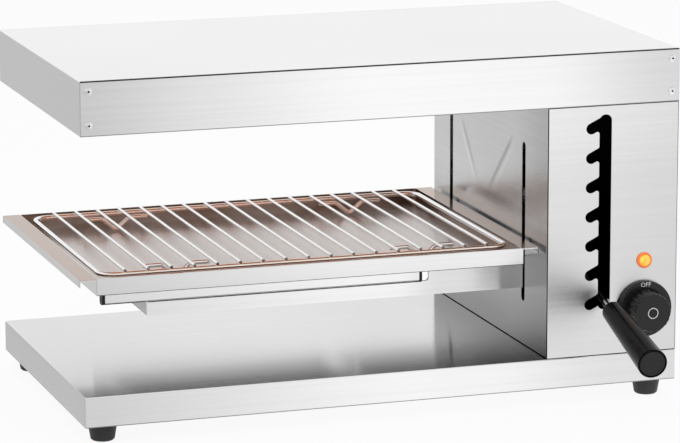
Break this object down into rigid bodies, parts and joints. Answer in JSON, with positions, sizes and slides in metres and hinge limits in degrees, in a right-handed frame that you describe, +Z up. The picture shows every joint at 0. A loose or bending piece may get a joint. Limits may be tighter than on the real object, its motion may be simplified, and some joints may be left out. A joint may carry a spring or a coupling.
{
  "type": "cheese melter",
  "caption": "Countertop salamander grill: a heated top housing on a side column, with a tray on arms that a side lever raises and latches in a notched slot.",
  "frame": {"origin": "centre of the footprint, lever and cable gland included, on the plane that the feet stand on", "axes": "+X to the right side with the controls, +Y to the back, +Z up"},
  "size_m": [0.602, 0.5025, 0.348],
  "materials": {
    "brushed_steel": "brushed",
    "bright_steel": "polished",
    "zinc_steel": "zinc plated",
    "reflector_steel": "bright",
    "chrome_wire": "chromed",
    "heater": "heat tinted",
    "black_plastic": "satin",
    "gloss_black": "gloss",
    "rubber": "matt",
    "insert": "satin",
    "lamp_amber": "translucent",
    "lamp_ring": "gloss",
    "ceramic": "glazed ceramic",
    "mineral_wool": "mat",
    "steel_bar": "ground"
  },
  "bodies": {
    "cabinet": {"base_panel": "brushed_steel", "feet": "rubber", "foot_screws": "zinc_steel", "foot_nuts": "zinc_steel", "column_front_panel": "brushed_steel", "column_inner_side": "brushed_steel", "column_outer_side": "brushed_steel", "column_back_panel": "brushed_steel", "side_screws": "bright_steel", "back_screws": "bright_steel", "housing_cover": "brushed_steel", "housing_fascia": "brushed_steel", "fascia_rivets": "bright_steel", "housing_floor": "zinc_steel", "reflector": "reflector_steel", "insulation_mat": "mineral_wool", "heater_tubes": "heater", "heater_brackets": "zinc_steel", "heater_bushes": "ceramic", "heater_terminals": "zinc_steel", "guide_rods": "steel_bar", "guide_clamps": "zinc_steel", "pivot_bracket": "zinc_steel", "pivot_pin": "zinc_steel", "regulator_body": "black_plastic", "knob_bezel": "bright_steel", "lamp_bezel": "lamp_ring", "lamp_lens": "lamp_amber", "terminal_block": "ceramic", "cord_gland": "black_plastic", "gland_nut": "black_plastic"},
    "carriage": {"carriage_plate": "zinc_steel", "guide_bushes": "zinc_steel", "front_arm": "brushed_steel", "rear_arm": "brushed_steel", "cross_ties": "brushed_steel", "tray_rails": "brushed_steel", "rail_caps": "black_plastic", "lift_eye": "zinc_steel"},
    "yoke": {"lever_yoke": "zinc_steel", "latch_pin": "zinc_steel"},
    "lever": {"lever_rod": "steel_bar", "lever_grip": "gloss_black", "grip_cap": "gloss_black"},
    "tray": {"tray": "brushed_steel"},
    "grid": {"grid_frame": "chrome_wire", "grid_rods": "chrome_wire", "grid_feet": "chrome_wire"},
    "knob": {"knob": "gloss_black", "knob_insert": "insert", "regulator_shaft": "steel_bar"}
  },
  "joints": [
    {"name": "lever_lift", "type": "hinge", "parent": "cabinet", "child": "yoke", "pos_m": [0.2479, 0.195, 0.1514], "axis": [-1, 0, 0], "range_deg": [0, 33.56]},
    {"name": "lever_latch", "type": "hinge", "parent": "yoke", "child": "lever", "pos_m": [0.24618, 0.17535, 0.14808], "axis": [0.273, 0.137, -0.9522], "range_deg": [0, 2.7]},
    {"name": "tray_lift", "type": "slide", "parent": "cabinet", "child": "carriage", "axis": [0, 0, 1], "range_m": [0, 0.109]},
    {"name": "tray_pull", "type": "slide", "parent": "carriage", "child": "tray", "axis": [0, -1, 0], "range_m": [0, 0.28]},
    {"name": "grid_lift", "type": "slide", "parent": "tray", "child": "grid", "axis": [0, 0, 1], "range_m": [0, 0.02]},
    {"name": "knob_turn", "type": "hinge", "parent": "cabinet", "child": "knob", "pos_m": [0.2653, -0.09, 0.0915], "axis": [0, 1, 0], "range_deg": [0, 290]}
  ],
  "couplings": [
    {"joint": "lever_lift", "follows": "tray_lift", "rad_per_m": 5.3734}
  ]
}
